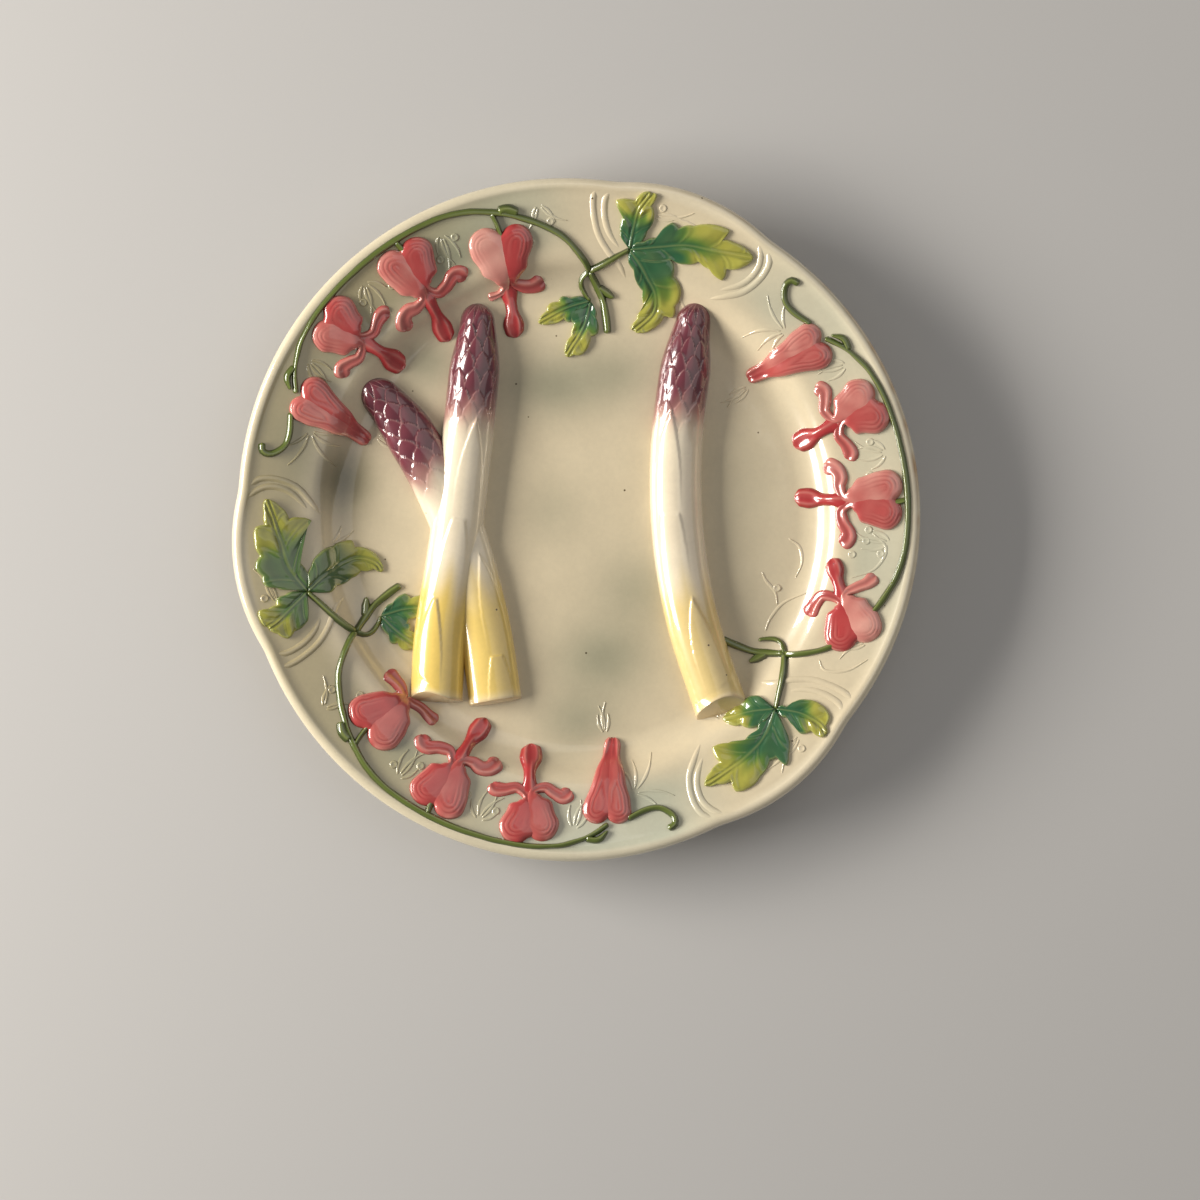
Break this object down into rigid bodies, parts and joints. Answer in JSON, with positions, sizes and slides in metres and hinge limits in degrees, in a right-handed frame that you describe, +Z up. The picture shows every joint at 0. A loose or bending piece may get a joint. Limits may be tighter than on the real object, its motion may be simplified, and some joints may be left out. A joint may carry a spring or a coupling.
{
  "type": "asparagus plate",
  "caption": "Round lobed earthenware plate for serving asparagus, with moulded asparagus spears in its well and garlands of heart-shaped flowers, leaves and stems on its rim.",
  "frame": {"origin": "centre of the foot ring, on the surface that the plate stands on", "axes": "+Z up out of the well, +Y towards the top of the design, +X to its right"},
  "size_m": [0.2401, 0.2383, 0.0249],
  "materials": {
    "cream_glaze": "gloss glaze",
    "asparagus_glaze": "gloss glaze",
    "pink_glaze": "gloss glaze",
    "leaf_glaze": "gloss glaze",
    "stem_glaze": "gloss glaze"
  },
  "bodies": {
    "root": {"plate_body": "cream_glaze", "spear_front": "asparagus_glaze", "spear_right": "asparagus_glaze", "spear_rear": "asparagus_glaze", "flower_1_top": "pink_glaze", "flower_2_top": "pink_glaze", "flower_3_top": "pink_glaze", "bud_top": "pink_glaze", "leaf_top": "leaf_glaze", "small_leaf_top": "leaf_glaze", "stem_top": "stem_glaze", "twig_top": "stem_glaze", "tendril_top": "stem_glaze", "scroll_top": "cream_glaze", "flower_1_left": "pink_glaze", "flower_2_left": "pink_glaze", "flower_3_left": "pink_glaze", "bud_left": "pink_glaze", "leaf_left": "leaf_glaze", "small_leaf_left": "leaf_glaze", "stem_left": "stem_glaze", "twig_left": "stem_glaze", "tendril_left": "stem_glaze", "scroll_left": "cream_glaze", "flower_1_right": "pink_glaze", "flower_2_right": "pink_glaze", "flower_3_right": "pink_glaze", "bud_right": "pink_glaze", "leaf_right": "leaf_glaze", "stem_right": "stem_glaze", "twig_right": "stem_glaze", "tendril_right": "stem_glaze", "scroll_right": "cream_glaze"}
  },
  "joints": []
}
